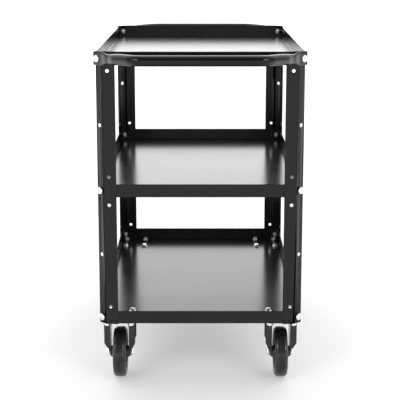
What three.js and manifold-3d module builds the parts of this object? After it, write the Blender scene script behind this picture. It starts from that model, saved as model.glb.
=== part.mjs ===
// Three-shelf steel tool cart with a tube handle at each end, on two fixed and two swivel casters.
// Millimetres, +Z up. +Y runs along the cart, and the origin is on the floor under its centre.

import * as THREE from 'three';
import { mergeVertices } from 'three/addons/utils/BufferGeometryUtils.js';
import Module from 'manifold-3d';

const wasm = await Module();
wasm.setup();

// Driving dimensions
const GAP = 0.3;
const DIAGONAL = Math.SQRT1_2;
const EIGHTH_TURN = Math.PI / 4;

// How far a cutting shape runs past what it cuts: a little, out through one sheet, or right across a caster.
const PAST = 1;
const THROUGH_SHEET = 20;
const THROUGH_CASTER = 60;

const CART = { halfWidth: 250, halfLength: 400 };
const POST = { sheet: 1.5, chamfer: 18, flange: 31, bottom: 155, top: 824.5 };
const TRAY = { sheet: 1.2, lip: 32.5, bend: 1.5, undersides: [155, 473, 791] };
const LEVELS = ['bottom', 'middle', 'top'];
const BOLT_ABOVE_TRAY = 16;

const CORNER_HOLE = { radius: 4.5, spareHeights: [330, 648] };
const FLANGE_HOLE = { radius: 4, fromCorner: 31, heights: [199.5, 454.5, 523.5, 778.5] };
const PIN_HOLE = { radius: 2.5, fromCorner: [32.5, 44.5], belowBolt: 6 };

const CORNER_BOLT = {
  shank: 4, head: 8.5, dome: 4.5, rim: 0.6, washer: 8.75, washerThick: 1.5, nutFlats: 13, nut: 7, reach: 14.5,
};
const DOME_STEPS = [[4.5, 0.86], [7.2, 0.5]];

const HANDLE = {
  tube: 25, wall: 1.5, barY: 485, barZ: 811, bend: 45,
  tabEnd: 12.5, tabTall: 33, tabThick: 3.5, tabZ: 807.5,
  neckAt: 41, neckTall: 23, neckThick: 14, roundAt: 70, levelAt: 105,
};
const TAB_STATIONS = [22, 31];
const LEG_STATION = 55;
const BEND_STEPS = 3;

const CASTER = {
  x: 201, y: 340, boltX: 29, boltY: 38,
  plateX: 80, plateY: 105, plate: 3, plateRound: 8, plateHole: 4.25,
  cheekInner: 22.5, cheek: 2.5, boss: 13, rimLowest: 66, trail: 37, weld: 0.5,
};
const AXLE = { radius: 5, hole: 5.6, flats: 17, head: 6, nut: 7.5, pastNut: 2 };
const WHEEL = {
  radius: 62.5, tread: 32, flatTread: 20, shoulder: 5, bead: 11, beadHalf: 13,
  hub: 44, boss: 15, bore: 5.5, rim: 46.7, rimThick: 7, web: 4, webFlare: 2, grip: 0.9,
};
const CASTER_BOLT = {
  shank: 3.8, flange: 8, flangeThick: 1.5, flats: 12, head: 5, nutFlats: 13, nut: 6.5, pastNut: 1.5,
};
const SWIVEL = {
  race: 31, raceBand: 6, raceEase: 4, bore: 6.6, cupBottom: 144.5, crownTop: 143.8,
  roofTop: 138.5, roof: 3, roofRear: 44,
};
const KINGPIN = { radius: 6, head: 9, sunk: 1, flats: 19, nut: 5.5, pastNut: 1.5 };
const BRAKE = { pivotY: 52, pivotZ: 130.5, pin: 2.5, pinHalf: 28, pinHole: 3, width: 40 };

// The pedal's outline in (Y, Z) from its pivot: over the pivot, out to the foot pad, and back by the shoe.
const PEDAL_OUTLINE = [[-5, -1.5], [-5, 4], [30, 5.5], [62, -8], [61, -11], [31, 1.5], [24, -11], [13, -2]];

const SEGMENTS = {
  hole: 8, pinHole: 6, bolt: 8, tube: 12, axle: 10, hub: 16, tyre: 28, race: 16, boss: 5, plateCorner: 3,
};

// Colours and finishes
const paint = { color: 0x17181a, roughness: 0.4, metalness: 0.1 };
const zinc = { color: 0xc9cbcd, roughness: 0.3, metalness: 0.9 };
const rubber = { color: 0x2b2b2c, roughness: 0.8, metalness: 0 };
const nylon = { color: 0x55575a, roughness: 0.6, metalness: 0 };

// Solid helpers. Every shape starts as a three.js geometry and becomes a solid to be joined and cut.
function solid(geometry) {
  const bare = geometry.clone();
  bare.deleteAttribute('normal');
  bare.deleteAttribute('uv');
  const merged = mergeVertices(bare, 1e-3);
  const corners = merged.index.array;
  const kept = [];
  for (let i = 0; i < corners.length; i += 3) {
    const [a, b, c] = [corners[i], corners[i + 1], corners[i + 2]];
    if (a !== b && b !== c && a !== c) kept.push(a, b, c);
  }
  return new wasm.Manifold(new wasm.Mesh({
    numProp: 3,
    vertProperties: new Float32Array(merged.attributes.position.array),
    triVerts: new Uint32Array(kept),
  }));
}

const join = (...shapes) => shapes.reduce((whole, next) => whole.add(next));
const cut = (body, ...tools) => tools.reduce((whole, tool) => whole.subtract(tool), body);

function geometryOf(shape) {
  const mesh = shape.getMesh();
  const geometry = new THREE.BufferGeometry();
  geometry.setAttribute('position', new THREE.BufferAttribute(mesh.vertProperties, 3));
  geometry.setIndex(new THREE.BufferAttribute(mesh.triVerts, 1));
  geometry.computeVertexNormals();
  return geometry;
}

const shapeOf = (points) => new THREE.Shape(points.map(([x, y]) => new THREE.Vector2(x, y)));

// A flat outline in plan, raised from low to high.
function raised(shape, low, high, curveSegments = 1) {
  const settings = { depth: high - low, bevelEnabled: false, curveSegments };
  return new THREE.ExtrudeGeometry(shape, settings).translate(0, 0, low);
}

// An outline drawn in (Y, Z), as seen from the side, spread along X.
function alongX(shape, low, high, curveSegments = 1) {
  const turn = new THREE.Matrix4().set(0, 0, 1, low, 1, 0, 0, 0, 0, 1, 0, 0, 0, 0, 0, 1);
  return raised(shape, 0, high - low, curveSegments).applyMatrix4(turn);
}

// An outline drawn in (X, Z), as seen from the end, spread along Y.
function alongY(shape, low, high) {
  return raised(shape, 0, high - low).rotateX(Math.PI / 2).translate(0, high, 0);
}

function box(low, high) {
  const [x, y, z] = [0, 1, 2].map((i) => high[i] - low[i]);
  const middle = low.map((value, i) => (value + high[i]) / 2);
  return new THREE.BoxGeometry(x, y, z).translate(...middle);
}

// A rod of any side count along Z, from low to high.
function rod(radius, low, high, segments) {
  const geometry = new THREE.CylinderGeometry(radius, radius, high - low, segments);
  return geometry.rotateX(Math.PI / 2).translate(0, 0, (low + high) / 2);
}

// A hexagon along Z with two of its flats facing +Y and -Y.
function hexagon(flats, low, high) {
  return rod(flats / 2 / Math.cos(Math.PI / 6), low, high, 6).rotateZ(Math.PI / 6 + Math.PI / 2);
}

// A turned shape about Z, from [radius, height] points.
function turned(points, segments) {
  const profile = points.map(([radius, height]) => new THREE.Vector2(radius, height));
  const geometry = new THREE.LatheGeometry(profile, segments);
  geometry.rotateX(Math.PI / 2);
  const shape = solid(geometry);
  return shape.volume() > 0 ? shape : solid(flipped(geometry));
}

function flipped(geometry) {
  const turnedOut = geometry.clone();
  const corners = turnedOut.index.array;
  for (let i = 0; i < corners.length; i += 3) {
    [corners[i], corners[i + 1]] = [corners[i + 1], corners[i]];
  }
  return turnedOut;
}

// Moves a solid so that its Z axis points along a horizontal direction, and its origin to a place.
// The solid's own X axis ends up level and its Y axis upright.
function aimed(shape, direction, place) {
  const z = new THREE.Vector3(...direction).normalize();
  const y = new THREE.Vector3(0, 0, 1);
  const x = new THREE.Vector3().crossVectors(y, z);
  const matrix = new THREE.Matrix4().makeBasis(x, y, z).setPosition(...place);
  return shape.transform(matrix.toArray());
}

// The eight-sided outline of the cart in plan, pulled in by an inset that is the same on every side.
function cartOutline(inset) {
  const x = CART.halfWidth - inset;
  const y = CART.halfLength - inset;
  const corner = CART.halfWidth + CART.halfLength - POST.chamfer - inset / DIAGONAL;
  const quarter = [[x, corner - x], [corner - y, y]];
  return shapeOf([
    ...quarter,
    ...quarter.map(([px, py]) => [-px, py]).reverse(),
    ...quarter.map(([px, py]) => [-px, -py]),
    ...quarter.map(([px, py]) => [px, -py]).reverse(),
  ]);
}

const boltHeights = TRAY.undersides.map((z) => z + BOLT_ABOVE_TRAY);

// The middle of the chamfered face of the corner at +X +Y.
const chamferMiddle = [CART.halfWidth - POST.chamfer / 2, CART.halfLength - POST.chamfer / 2];

function cornerHole(z) {
  const hole = solid(rod(CORNER_HOLE.radius, -THROUGH_SHEET, THROUGH_SHEET, SEGMENTS.hole));
  return aimed(hole, [1, 1, 0], [...chamferMiddle, z]);
}

function pinHoles(z) {
  return PIN_HOLE.fromCorner.map((inset) => {
    const hole = solid(rod(PIN_HOLE.radius, -THROUGH_SHEET, THROUGH_SHEET, SEGMENTS.pinHole));
    return aimed(hole, [0, 1, 0], [CART.halfWidth - inset, CART.halfLength, z]);
  });
}

// Corner post at +X +Y: two flanges and a chamfered face between them, bent from one sheet.
function makePost() {
  const outside = solid(raised(cartOutline(0), POST.bottom, POST.top));
  const inside = solid(raised(cartOutline(POST.sheet), POST.bottom - PAST, POST.top + PAST));
  const reach = POST.chamfer + POST.flange;
  const near = [CART.halfWidth - reach, CART.halfLength - reach, POST.bottom - PAST];
  const far = [CART.halfWidth + PAST, CART.halfLength + PAST, POST.top + PAST];
  const corner = cut(outside, inside).intersect(solid(box(near, far)));

  const flangeHoles = FLANGE_HOLE.heights.flatMap((z) => {
    const across = CART.halfWidth - FLANGE_HOLE.fromCorner;
    const along = CART.halfLength - FLANGE_HOLE.fromCorner;
    const hole = solid(rod(FLANGE_HOLE.radius, -THROUGH_SHEET, THROUGH_SHEET, SEGMENTS.hole));
    return [
      aimed(hole, [0, 1, 0], [across, CART.halfLength, z]),
      aimed(hole, [1, 0, 0], [CART.halfWidth, along, z]),
    ];
  });
  return cut(
    corner,
    ...[...boltHeights, ...CORNER_HOLE.spareHeights].map(cornerHole),
    ...flangeHoles,
    ...pinHoles(boltHeights[0] - PIN_HOLE.belowBolt),
  );
}

// A deep tray shape with rounded lower edges, from the given floor height up past the lip.
function pan(inset, floor, round) {
  const settings = {
    depth: TRAY.lip * 2, bevelEnabled: true, bevelSegments: 2,
    bevelThickness: round, bevelSize: round, bevelOffset: -round,
  };
  return solid(new THREE.ExtrudeGeometry(cartOutline(inset), settings).translate(0, 0, floor + round));
}

const corners = [-1, 1].flatMap((sideX) => [-1, 1].map((sideY) => [sideX, sideY]));
const casterBoltOffsets = [-1, 1].flatMap((x) => [-1, 1].map((y) => [x * CASTER.boltX, y * CASTER.boltY]));

// A tray with a lip all round. The top one has pin holes in its lip, which the posts close off behind, and
// the bottom one has holes for the casters' bolts.
function makeTray(level) {
  const inset = POST.sheet + GAP;
  const outside = pan(inset, 0, TRAY.bend + TRAY.sheet);
  const inside = pan(inset + TRAY.sheet, TRAY.sheet, TRAY.bend);
  const above = solid(box(
    [-CART.halfWidth, -CART.halfLength, TRAY.lip],
    [CART.halfWidth, CART.halfLength, TRAY.lip * 4],
  ));
  const sheet = cut(outside, inside, above);

  const pins = level === LEVELS.indexOf('top') ? pinHoles(BOLT_ABOVE_TRAY) : [];
  const quarterHoles = join(cornerHole(BOLT_ABOVE_TRAY), ...pins);
  const holes = corners.map(([sideX, sideY]) => {
    const flip = new THREE.Matrix4().makeScale(sideX, sideY, 1);
    return quarterHoles.transform(flip.toArray());
  });
  if (level === LEVELS.indexOf('bottom')) {
    for (const [sideX, sideY] of corners) {
      for (const [x, y] of casterBoltOffsets) {
        const hole = rod(CASTER.plateHole, -THROUGH_SHEET, THROUGH_SHEET, SEGMENTS.hole);
        holes.push(solid(hole.translate(sideX * CASTER.x + x, sideY * CASTER.y + y, 0)));
      }
    }
  }
  return cut(sheet, ...holes);
}

// Corner bolt with its washer and nut, along Z: the head is outside, and Z = 0 is the face of the post.
function makeCornerBolt(underHead) {
  const washerAt = -(POST.sheet + GAP + TRAY.sheet + GAP);
  const { shank, head, dome, rim, washer, washerThick, nutFlats, nut, reach } = CORNER_BOLT;
  const seat = underHead + GAP;
  const washerBack = washerAt - washerThick;
  const body = turned([
    [0, seat + dome], ...DOME_STEPS.map(([radius, part]) => [radius, seat + dome * part]),
    [head, seat + rim], [head, seat], [shank, seat], [shank, washerAt], [washer, washerAt],
    [washer, washerBack], [shank, washerBack], [shank, -reach], [0, -reach],
  ], SEGMENTS.bolt);
  return join(body, solid(hexagon(nutFlats, washerBack - nut, washerBack)));
}

const tabOffset = (GAP + HANDLE.tabThick / 2) * DIAGONAL;
const tabCentre = [chamferMiddle[0] + tabOffset, chamferMiddle[1] + tabOffset];
const legToCorner = (HANDLE.barY - tabCentre[1]) / DIAGONAL;
const legLength = legToCorner - HANDLE.bend * Math.tan(EIGHTH_TURN / 2);
const bendLength = HANDLE.bend * EIGHTH_TURN;

// The handle's plan, from the tab on one post to the middle of the bar. u is measured along the tube from
// the corner bolt. Gives the centre's x and y, and the direction level and square to the tube.
function handlePlan(u) {
  const onLeg = Math.min(u, legLength);
  const turn = THREE.MathUtils.clamp((u - legLength) / HANDLE.bend, 0, EIGHTH_TURN);
  const sideways = EIGHTH_TURN + turn;
  return {
    x: tabCentre[0] - onLeg * DIAGONAL + HANDLE.bend * (Math.cos(sideways) - DIAGONAL),
    y: tabCentre[1] + onLeg * DIAGONAL + HANDLE.bend * (Math.sin(sideways) - DIAGONAL),
    sideways,
  };
}

const { smoothstep } = THREE.MathUtils;

// The flattened tube's section: its height, thickness and the height of its centre.
function handleSection(u) {
  const { tube, barZ, tabEnd, tabTall, tabThick, tabZ } = HANDLE;
  const { neckAt, neckTall, neckThick, roundAt, levelAt } = HANDLE;
  const toNeck = smoothstep(u, tabEnd, neckAt);
  const toRound = smoothstep(u, neckAt, roundAt);
  const tall = tabTall + (neckTall - tabTall) * toNeck + (tube - neckTall) * toRound;
  const thick = tabThick + (neckThick - tabThick) * toNeck + (tube - neckThick) * toRound;
  return { tall, thick, z: tabZ + (barZ - tabZ) * smoothstep(u, 0, levelAt) };
}

// One skin of the handle at +Y: a closed cylinder whose rings are laid along the plan. Inset 0 is the
// outside, and the wall's thickness gives the bore, which runs out past both ends.
function handleSkin(inset) {
  const tabEnd = inset > 0 ? -HANDLE.tabEnd - PAST : -HANDLE.tabEnd;
  const leg = [tabEnd, HANDLE.tabEnd, ...TAB_STATIONS, HANDLE.neckAt, LEG_STATION, HANDLE.roundAt];
  const bend = [];
  for (let step = 0; step <= BEND_STEPS; step += 1) {
    bend.push(legLength + bendLength * step / BEND_STEPS);
  }
  const half = [...leg, ...bend];
  const stations = [...half.map((u) => [u, 1]), ...half.map((u) => [u, -1]).reverse()];
  const skin = new THREE.CylinderGeometry(1, 1, stations.length - 1, SEGMENTS.tube, stations.length - 1);
  const place = skin.attributes.position;
  for (let i = 0; i < place.count; i += 1) {
    const [u, side] = stations[Math.round(place.getY(i) + (stations.length - 1) / 2)];
    const { x, y, sideways } = handlePlan(u);
    const { tall, thick, z } = handleSection(u);
    const halfThick = thick / 2 - inset;
    const straight = (tall - thick) / 2;
    const across = place.getX(i) * halfThick;
    const up = place.getZ(i) * halfThick + Math.sign(Math.round(place.getZ(i) * 1e6)) * straight;
    place.setXYZ(i, side * (x + across * Math.cos(sideways)), y + across * Math.sin(sideways), z + up);
  }
  const shape = solid(skin);
  return shape.volume() > 0 ? shape : solid(flipped(skin));
}

function makeHandle() {
  const holes = [-1, 1].map((side) => {
    const hole = solid(rod(CORNER_HOLE.radius, -THROUGH_SHEET, THROUGH_SHEET, SEGMENTS.hole));
    return aimed(hole, [side, 1, 0], [side * chamferMiddle[0], chamferMiddle[1], boltHeights[2]]);
  });
  return cut(handleSkin(0), handleSkin(HANDLE.wall), ...holes);
}

// Casters. Each is built about its own swivel or mounting axis, with Z measured from the floor.
const plateTop = TRAY.undersides[0] - GAP;
const plateBottom = plateTop - CASTER.plate;
const floorTop = TRAY.undersides[0] + TRAY.sheet;

function makeCasterBolt() {
  const { shank, flange, flangeThick, flats, head, nutFlats, nut, pastNut } = CASTER_BOLT;
  const seat = floorTop + GAP;
  const nutTop = plateBottom - GAP;
  return join(
    solid(rod(flange, seat, seat + flangeThick, SEGMENTS.bolt)),
    solid(hexagon(flats, seat + flangeThick - CASTER.weld, seat + flangeThick + head)),
    solid(rod(shank, nutTop - nut - pastNut, seat + CASTER.weld, SEGMENTS.bolt)),
    solid(hexagon(nutFlats, nutTop - nut, nutTop)),
  );
}

function casterPlate() {
  const [x, y, round] = [CASTER.plateX / 2, CASTER.plateY / 2, CASTER.plateRound];
  const outline = new THREE.Shape();
  outline.absarc(x - round, y - round, round, 0, Math.PI / 2);
  outline.absarc(-x + round, y - round, round, Math.PI / 2, Math.PI);
  outline.absarc(-x + round, -y + round, round, Math.PI, Math.PI * 1.5);
  outline.absarc(x - round, -y + round, round, Math.PI * 1.5, Math.PI * 2);
  const plate = solid(raised(outline, plateBottom, plateTop, SEGMENTS.plateCorner));
  const holes = casterBoltOffsets.map(([holeX, holeY]) => {
    const hole = rod(CASTER.plateHole, plateBottom - PAST, plateTop + PAST, SEGMENTS.hole);
    return solid(hole.translate(holeX, holeY, 0));
  });
  return cut(plate, ...holes);
}

// A fork cheek's outline in (Y, Z): straight edges down to a shoulder, then tangents to the axle boss.
function cheekOutline({ front, rear, top, shoulder, axleY }, inset) {
  const boss = CASTER.boss - inset;
  const axleZ = WHEEL.radius;
  const edge = (y, side) => {
    const [dy, dz] = [side * (y - axleY) - inset, shoulder - axleZ];
    return Math.atan2(dz, dy) - Math.acos(boss / Math.hypot(dy, dz));
  };
  const [rearAngle, frontAngle] = [edge(rear, 1), Math.PI - edge(front, -1)];
  const outline = new THREE.Shape();
  outline.moveTo(front + inset, top);
  outline.lineTo(front + inset, shoulder);
  outline.absarc(axleY, axleZ, boss, frontAngle, rearAngle + Math.PI * 2, false);
  outline.lineTo(rear - inset, shoulder);
  outline.lineTo(rear - inset, top);
  return outline;
}

// One cheek at +X: a flat plate with a stiffening rim turned outwards, which narrows towards the axle.
function makeCheek(fork) {
  const inner = CASTER.cheekInner;
  const outer = inner + CASTER.cheek;
  const whole = cheekOutline(fork, 0);
  const hollow = cheekOutline({ ...fork, top: fork.top + PAST }, CASTER.cheek);
  const plate = solid(alongX(whole, inner, outer, SEGMENTS.boss));
  const rim = cut(
    solid(alongX(whole, inner, fork.rimTo, SEGMENTS.boss)),
    solid(alongX(hollow, 0, THROUGH_CASTER, SEGMENTS.boss)),
  );
  const taper = alongY(shapeOf([
    [inner, fork.top], [fork.rimTo, fork.top], [fork.rimTo, fork.rimEnd],
    [outer, CASTER.rimLowest], [inner, CASTER.rimLowest],
  ]), -THROUGH_CASTER, THROUGH_CASTER);
  const axleHole = rod(AXLE.hole, 0, THROUGH_CASTER, SEGMENTS.axle).rotateY(Math.PI / 2);
  const hole = solid(axleHole.translate(0, fork.axleY, WHEEL.radius));
  return cut(join(plate, rim.intersect(solid(taper))), hole);
}

const bothSides = (shape) => join(shape, shape.transform(new THREE.Matrix4().makeScale(-1, 1, 1).toArray()));

const fixedFork = {
  front: -28, rear: 28, top: plateBottom + CASTER.weld, shoulder: 94, axleY: 0, rimTo: 38.5, rimEnd: 94,
};
const swivelFork = {
  front: -27, rear: 59, top: SWIVEL.roofTop, shoulder: 116, axleY: CASTER.trail, rimTo: 33, rimEnd: 100,
};

function makeFixedBracket() {
  return join(casterPlate(), bothSides(makeCheek(fixedFork)));
}

// Top plate of a swivel caster with its bearing cup pressed below.
function makeSwivelPlate() {
  const { race, raceBand, raceEase, bore, cupBottom } = SWIVEL;
  const recess = cupBottom + 1;
  const inPlate = plateBottom + CASTER.weld;
  const cup = turned([
    [bore, recess], [race - raceBand, recess], [race - raceEase, cupBottom], [race, cupBottom],
    [race, plateBottom - 2], [race - 3, inPlate], [bore, inPlate], [bore, recess],
  ], SEGMENTS.race);
  const through = solid(rod(bore, plateBottom - PAST, plateTop + PAST, SEGMENTS.axle));
  const seat = solid(rod(KINGPIN.head + GAP, plateBottom + KINGPIN.sunk, plateTop + PAST, SEGMENTS.axle));
  return cut(join(casterPlate(), cup), through, seat);
}

function makeSwivelFork() {
  const { race, raceBand, raceEase, bore, crownTop, roofTop, roof, roofRear } = SWIVEL;
  const half = CASTER.cheekInner + CASTER.cheek;
  const sheet = solid(box([-half, swivelFork.front, roofTop - roof], [half, roofRear, roofTop]));
  const inRoof = roofTop - 2;
  const recess = crownTop - 1;
  const crown = turned([
    [bore, inRoof], [race - raceBand, inRoof], [race, roofTop + 1.5], [race, crownTop],
    [race - raceEase, crownTop], [race - raceBand, recess], [bore, recess], [bore, inRoof],
  ], SEGMENTS.race);
  const through = solid(rod(bore, roofTop - THROUGH_SHEET, roofTop + THROUGH_SHEET, SEGMENTS.axle));
  const pinHole = rod(BRAKE.pinHole, -THROUGH_CASTER, THROUGH_CASTER, SEGMENTS.hole).rotateY(Math.PI / 2);
  const brakeHole = solid(pinHole.translate(0, BRAKE.pivotY, BRAKE.pivotZ));
  return cut(join(sheet, crown, bothSides(makeCheek(swivelFork))), through, brakeHole);
}

function makeKingpin() {
  const { radius, head, sunk, flats, nut, pastNut } = KINGPIN;
  const underRoof = SWIVEL.roofTop - SWIVEL.roof - GAP;
  const seat = plateBottom + sunk + GAP;
  return join(
    solid(rod(head, seat, plateTop, SEGMENTS.axle)),
    solid(rod(radius, underRoof - nut - pastNut, seat + CASTER.weld, SEGMENTS.axle)),
    solid(hexagon(flats, underRoof - nut, underRoof)),
  );
}

// Axle bolt along X with a head outside one cheek and a nut outside the other.
function makeAxle() {
  const { radius, flats, head, nut, pastNut } = AXLE;
  const outside = CASTER.cheekInner + CASTER.cheek + GAP;
  const bolt = join(
    solid(rod(radius, -outside - nut - pastNut, outside + CASTER.weld, SEGMENTS.axle)),
    solid(hexagon(flats, outside, outside + head)),
    solid(hexagon(flats, -outside - nut, -outside)),
  );
  return aimed(bolt, [1, 0, 0], [0, 0, 0]);
}

// Wheel pieces turn about X. A corner of each polygon points down, so that the wheel stands on the floor.
function wheelTurned(points, segments) {
  return aimed(turned(points, segments), [1, 0, 0], [0, 0, 0]);
}

function makeHub() {
  const { hub, boss, bore, rim, rimThick, beadHalf, web, webFlare } = WHEEL;
  const [half, inner, root] = [hub / 2, rim - rimThick, web + webFlare];
  return wheelTurned([
    [bore, -half], [boss, -half], [boss, -root], [inner, -web], [inner, -beadHalf], [rim, -beadHalf],
    [rim, beadHalf], [inner, beadHalf], [inner, web], [boss, root], [boss, half], [bore, half],
    [bore, -half],
  ], SEGMENTS.hub);
}

function makeTyre() {
  const { radius, tread, flatTread, shoulder, bead, beadHalf, rim, grip } = WHEEL;
  const inner = rim + grip;
  const [half, flat] = [tread / 2, flatTread / 2];
  return wheelTurned([
    [inner, -beadHalf], [radius - bead, -half], [radius - shoulder, -half], [radius, -flat],
    [radius, flat], [radius - shoulder, half], [radius - bead, half], [inner, beadHalf], [inner, -beadHalf],
  ], SEGMENTS.tyre);
}

// Foot brake: a bent lever on its own pin, with a foot pad beyond the wheel and a shoe over the tyre.
function makeBrakePedal() {
  const { pivotY, pivotZ, pin, pinHalf, width } = BRAKE;
  const lever = shapeOf(PEDAL_OUTLINE);
  return join(
    solid(alongX(lever, -width / 2, width / 2)),
    solid(rod(pin, -pinHalf, pinHalf, SEGMENTS.hole).rotateY(Math.PI / 2)),
  ).translate([0, pivotY, pivotZ]);
}

// The assembly
const cart = new THREE.Group();

function place(parent, name, geometry, finish, position = [0, 0, 0]) {
  const mesh = new THREE.Mesh(geometry, new THREE.MeshStandardMaterial(finish));
  mesh.name = name;
  mesh.position.set(...position);
  parent.add(mesh);
  return mesh;
}

const sideName = (sideX) => (sideX < 0 ? 'left' : 'right');
const endName = (sideY) => (sideY < 0 ? 'front' : 'rear');

const postGeometry = geometryOf(makePost());
const plainBolt = geometryOf(makeCornerBolt(0));
const handleBolt = geometryOf(makeCornerBolt(GAP + HANDLE.tabThick));
const boltGeometries = [plainBolt, plainBolt, handleBolt];
for (const [sideX, sideY] of corners) {
  const corner = `${endName(sideY)}_${sideName(sideX)}`;
  place(cart, `post_${corner}`, postGeometry, paint).scale.set(sideX, sideY, 1);
  LEVELS.forEach((level, i) => {
    const at = [sideX * chamferMiddle[0], sideY * chamferMiddle[1], boltHeights[i]];
    const bolt = place(cart, `corner_bolt_${corner}_${level}`, boltGeometries[i], zinc, at);
    const outward = new THREE.Vector3(sideX, sideY, 0).normalize();
    const upright = new THREE.Vector3(0, 0, 1);
    const across = new THREE.Vector3().crossVectors(upright, outward);
    bolt.setRotationFromMatrix(new THREE.Matrix4().makeBasis(across, upright, outward));
  });
}

LEVELS.forEach((level, i) => {
  place(cart, `tray_${level}`, geometryOf(makeTray(i)), paint, [0, 0, TRAY.undersides[i]]);
});

const handleGeometry = geometryOf(makeHandle());
for (const sideY of [-1, 1]) {
  place(cart, `handle_${endName(sideY)}`, handleGeometry, paint).scale.set(1, sideY, 1);
}

const casterParts = {
  bolt: geometryOf(makeCasterBolt()),
  fixedBracket: geometryOf(makeFixedBracket()),
  swivelPlate: geometryOf(makeSwivelPlate()),
  swivelFork: geometryOf(makeSwivelFork()),
  kingpin: geometryOf(makeKingpin()),
  axle: geometryOf(makeAxle()),
  hub: geometryOf(makeHub()),
  tyre: geometryOf(makeTyre()),
  pedal: geometryOf(makeBrakePedal()),
};

for (const [sideX, sideY] of corners) {
  const corner = `${endName(sideY)}_${sideName(sideX)}`;
  const caster = new THREE.Group();
  caster.position.set(sideX * CASTER.x, sideY * CASTER.y, 0);
  cart.add(caster);
  casterBoltOffsets.forEach(([x, y], i) => {
    place(caster, `caster_bolt_${corner}_${i + 1}`, casterParts.bolt, zinc, [x, y, 0]);
  });
  const axleAt = [0, sideY < 0 ? 0 : CASTER.trail, WHEEL.radius];
  if (sideY < 0) {
    place(caster, `fixed_bracket_${sideName(sideX)}`, casterParts.fixedBracket, paint);
  } else {
    place(caster, `swivel_plate_${sideName(sideX)}`, casterParts.swivelPlate, paint);
    place(caster, `swivel_fork_${sideName(sideX)}`, casterParts.swivelFork, paint);
    place(caster, `kingpin_${sideName(sideX)}`, casterParts.kingpin, zinc);
    place(caster, `brake_pedal_${sideName(sideX)}`, casterParts.pedal, paint);
  }
  place(caster, `axle_${corner}`, casterParts.axle, zinc, axleAt);
  place(caster, `hub_${corner}`, casterParts.hub, nylon, axleAt);
  place(caster, `tyre_${corner}`, casterParts.tyre, rubber, axleAt);
}

export default cart;
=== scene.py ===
import math

import bmesh
import bpy
from mathutils import Matrix, Vector


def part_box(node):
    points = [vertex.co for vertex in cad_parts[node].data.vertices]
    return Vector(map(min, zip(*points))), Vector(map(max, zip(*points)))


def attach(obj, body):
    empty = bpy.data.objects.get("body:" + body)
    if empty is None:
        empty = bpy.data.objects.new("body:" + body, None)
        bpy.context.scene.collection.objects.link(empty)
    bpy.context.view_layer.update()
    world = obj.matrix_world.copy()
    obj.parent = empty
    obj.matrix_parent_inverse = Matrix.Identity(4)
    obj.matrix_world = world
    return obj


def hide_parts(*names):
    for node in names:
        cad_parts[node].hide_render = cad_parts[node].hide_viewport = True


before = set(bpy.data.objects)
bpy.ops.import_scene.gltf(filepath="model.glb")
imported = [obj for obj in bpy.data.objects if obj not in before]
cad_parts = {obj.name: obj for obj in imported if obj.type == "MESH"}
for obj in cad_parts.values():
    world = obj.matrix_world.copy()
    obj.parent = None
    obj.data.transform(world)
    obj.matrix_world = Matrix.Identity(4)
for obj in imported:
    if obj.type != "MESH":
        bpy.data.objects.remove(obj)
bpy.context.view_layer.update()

MM = 0.001
SIDES = {"left": -1, "right": 1}
ENDS = {"front": -1, "rear": 1}
CORNERS = [(end, side) for end in ENDS for side in SIDES]
LEVELS = ("bottom", "middle", "top")

# Sizes in millimetres that the frame's boxes don't give, and a few counts.
GAP = 0.3
INSIDE = 0.05  # how far the posts' tops stay under the top of the CAD box
POST = {"sheet": 1.5, "chamfer": 18.0, "bend": 2.0}
TRAY = {"sheet": 1.2, "bend": 1.8, "bolt": 16.0, "corner": 3.0}
HOLE = {"corner": 4.5, "spare": (330.0, 648.0), "flange": 4.0, "flange_in": 31.0, "pin": 2.5}
FLANGE_HOLES_Z = (199.5, 454.5, 523.5, 778.5)
PINS_IN = (32.5, 44.5)  # from the cart's side to each small hole
PINS_BELOW = 6.0  # how far the posts' small holes lie below the bottom corner bolts
BOLT = {
    "shank": 4.0, "head": 8.5, "rim": 0.6, "dome": 4.5, "washer": 8.75, "washer_thick": 1.5,
    "flats": 13.0, "nut": 7.0, "reach": 14.5,
}
HEXAGON_EASE = (0.55, 0.7)  # turned off a hexagon's corners: inwards, and along its axis
RECESS = [(-3.0, 1.8, 0.9), (1.0, 5.4, 1.6)]  # height from the dome's top, half length, half width
RECESS_TURN = math.pi / 5
CASTER_BOLT = {"shank": 3.8, "rim": 0.8, "flats": 12.0, "nut_flats": 13.0, "nut": 6.5}
KINGPIN = {"nut_flats": 19.0, "nut": 5.5, "past": 7.0}
AXLE = {"flats": 17.0, "head": 6.0, "nut": 7.5, "past": 9.5}
HANDLE = {
    "tube": 25.0, "wall": 1.5, "bar_z": 811.0, "bend": 45.0, "tab_end": 12.5, "tab_tall": 33.0,
    "tab_thick": 3.5, "tab_z": 807.5, "neck_at": 41.0, "neck_tall": 23.0, "neck_thick": 14.0,
    "round_at": 70.0,
}
CASTER = {
    "bolt_x": 29.0, "bolt_y": 38.0, "plate": 3.0, "plate_hole": 4.25, "round": 8.0, "axle": 5.0,
    "axle_hole": 5.6, "inner": 22.5, "cheek": 2.5, "boss": 13.0, "boss_end": 66.0,
}
SWIVEL = {
    "race": 31.0, "bore": 6.6, "pin": 6.0, "pin_head": 9.0, "cup": 144.5, "crown": 143.8,
    "roof": 138.5, "roof_thick": 3.0, "roof_end": 44.0, "through": (100.0, 150.0),
}
BRAKE = {"y": 52.0, "z": 130.5, "pin": 2.5, "pin_half": 28.0, "hole": 3.0, "half": 20.0, "round": 0.8}
PEDAL_OUTLINE = [(-5, -1.5), (-5, 4), (30, 5.5), (62, -8), (61, -11), (31, 1.5), (24, -11), (13, -2)]
PEDAL_GROOVES = {"count": 5, "first": 36.0, "pitch": 5.0, "half": 0.9, "margin": 4.0, "above": 3.0}
TYRE = {
    "shoulder": 8.0, "flat": 7.6, "grooves": (1.4, 4.4), "deep": 1.3, "slope": 0.4, "wide": 1.3, "slack": 0.2,
}
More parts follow.
